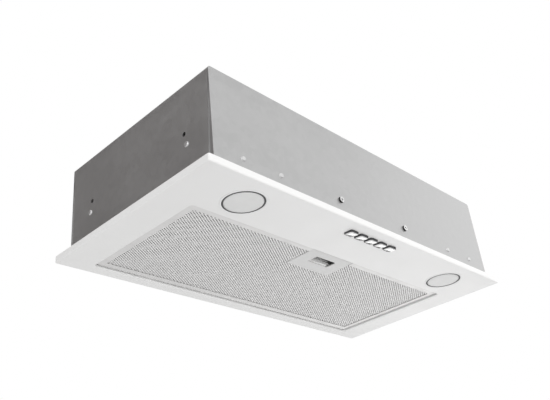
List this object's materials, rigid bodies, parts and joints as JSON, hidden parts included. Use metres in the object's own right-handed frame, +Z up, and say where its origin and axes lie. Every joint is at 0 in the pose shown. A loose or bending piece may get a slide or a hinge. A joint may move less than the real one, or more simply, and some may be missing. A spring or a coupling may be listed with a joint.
{
  "type": "built-in range hood",
  "caption": "Low box hood that drops into a cabinet's bottom board: flanged panel with lamps, push keys and a latched mesh filter, blower, flap valve and round duct collar.",
  "frame": {"origin": "centre of the cut-out in the cabinet's bottom board, level with the top edge of the panel's rim, which lies against that board's underside", "axes": "+X to the right along the hood as seen from its front, -Y to the front, where the keys are, +Z up"},
  "size_m": [0.525, 0.264, 0.1733],
  "materials": {
    "panel_coat": "smooth light grey-white powder coat, satin",
    "galvanised_steel": "galvanised sheet, dull satin with faint spangle",
    "rivet_aluminium": "plain, slightly dull",
    "zinc_screws": "bright zinc plate",
    "lamp_ring_metal": "satin plated ring",
    "frosted_lens": "frosted, light-diffusing",
    "circuit_board": "white solder mask with yellow chips",
    "lamp_can_aluminium": "spun, plain",
    "key_chrome": "bright plated",
    "switch_plastic": "moulded, black",
    "spring_steel": "drawn wire",
    "filter_aluminium": "rolled sheet, satin",
    "mesh_aluminium": "expanded mesh, satin",
    "latch_plastic": "moulded, light grey",
    "fan_housing_plastic": "moulded, dark grey",
    "impeller_plastic": "moulded, grey",
    "shaft_steel": "ground bar",
    "lamination_steel": "stacked sheet with copper windings",
    "bush_bronze": "sintered bronze",
    "black_rubber": "moulded, matt",
    "collar_plastic": "moulded, black",
    "flap_plastic": "moulded, dark",
    "box_plastic": "moulded, pale grey",
    "terminal_plastic": "moulded, cream",
    "capacitor_case": "drawn can",
    "driver_case": "moulded, white",
    "lead_sheath": "flexible sheath, grey"
  },
  "bodies": {
    "hood": {"trim_panel": "panel_coat", "casing_roof": "galvanised_steel", "casing_end_left": "galvanised_steel", "casing_end_right": "galvanised_steel", "front_wall": "galvanised_steel", "rear_wall": "galvanised_steel", "screw_plates": "galvanised_steel", "casing_rivets": "rivet_aluminium", "casing_screws": "zinc_screws", "lamp_ring_left": "lamp_ring_metal", "lamp_lens_left": "frosted_lens", "lamp_can_left": "lamp_can_aluminium", "lamp_bracket_left": "galvanised_steel", "lamp_ring_right": "lamp_ring_metal", "lamp_lens_right": "frosted_lens", "lamp_can_right": "lamp_can_aluminium", "lamp_bracket_right": "galvanised_steel", "lamp_boards": "circuit_board", "switch_body": "switch_plastic", "switch_cover": "switch_plastic", "switch_bracket": "galvanised_steel", "switch_screws": "zinc_screws", "button_springs": "spring_steel", "scroll_lower": "fan_housing_plastic", "scroll_upper": "fan_housing_plastic", "inlet_mouth": "fan_housing_plastic", "motor_can": "galvanised_steel", "motor_bushes": "bush_bronze", "motor_stator": "lamination_steel", "motor_plate": "galvanised_steel", "motor_rubbers": "black_rubber", "motor_screws": "zinc_screws", "outlet_collar": "collar_plastic", "flap_seat": "collar_plastic", "flap_pin": "shaft_steel", "control_box": "box_plastic", "control_cover": "box_plastic", "terminal_block": "terminal_plastic", "capacitor": "capacitor_case", "lamp_driver": "driver_case", "cable_grommet": "black_rubber", "wiring_leads": "lead_sheath"},
    "filter": {"filter_frame": "filter_aluminium", "filter_mesh_front": "mesh_aluminium", "filter_core": "mesh_aluminium", "filter_mesh_back": "mesh_aluminium", "latch_plate": "latch_plastic", "latch_spring": "spring_steel"},
    "latch": {"latch_slide": "latch_plastic"},
    "flap_front": {"flap_front": "flap_plastic"},
    "flap_rear": {"flap_rear": "flap_plastic"},
    "fan": {"impeller": "impeller_plastic", "impeller_nut": "zinc_screws", "rotor_shaft": "shaft_steel", "motor_rotor": "lamination_steel"},
    "key_1": {"button_1": "key_chrome"},
    "key_2": {"button_2": "key_chrome"},
    "key_3": {"button_3": "key_chrome"},
    "key_4": {"button_4": "key_chrome"},
    "key_5": {"button_5": "key_chrome"}
  },
  "joints": [
    {"name": "key_1_press", "type": "slide", "parent": "hood", "child": "key_1", "axis": [0, 0, 1], "range_m": [0, 0.003], "stiffness_N_per_m": 400, "springref_m": -0.001, "deforming": ["button_springs"]},
    {"name": "key_2_press", "type": "slide", "parent": "hood", "child": "key_2", "axis": [0, 0, 1], "range_m": [0, 0.003], "stiffness_N_per_m": 400, "springref_m": -0.001, "deforming": ["button_springs"]},
    {"name": "key_3_press", "type": "slide", "parent": "hood", "child": "key_3", "axis": [0, 0, 1], "range_m": [0, 0.003], "stiffness_N_per_m": 400, "springref_m": -0.001, "deforming": ["button_springs"]},
    {"name": "key_4_press", "type": "slide", "parent": "hood", "child": "key_4", "axis": [0, 0, 1], "range_m": [0, 0.003], "stiffness_N_per_m": 400, "springref_m": -0.001, "deforming": ["button_springs"]},
    {"name": "key_5_press", "type": "slide", "parent": "hood", "child": "key_5", "axis": [0, 0, 1], "range_m": [0, 0.003], "stiffness_N_per_m": 400, "springref_m": -0.001, "deforming": ["button_springs"]},
    {"name": "filter_hinge", "type": "hinge", "parent": "hood", "child": "filter", "pos_m": [0, 0.1145, -0.007], "axis": [1, 0, 0], "range_deg": [0, 55]},
    {"name": "latch_slide", "type": "slide", "parent": "filter", "child": "latch", "axis": [0, 1, 0], "range_m": [0, 0.005], "stiffness_N_per_m": 300, "springref_m": -0.002, "deforming": ["latch_spring"]},
    {"name": "flap_front_hinge", "type": "hinge", "parent": "hood", "child": "flap_front", "pos_m": [0, 0.022, 0.1289], "axis": [-1, 0, 0], "range_deg": [0, 75]},
    {"name": "flap_rear_hinge", "type": "hinge", "parent": "hood", "child": "flap_rear", "pos_m": [0, 0.022, 0.1289], "axis": [1, 0, 0], "range_deg": [0, 75]},
    {"name": "fan_spin", "type": "hinge", "parent": "hood", "child": "fan", "pos_m": [-0.13777, -0.023, 0.0735], "axis": [0, 0, 1], "continuous": true}
  ]
}
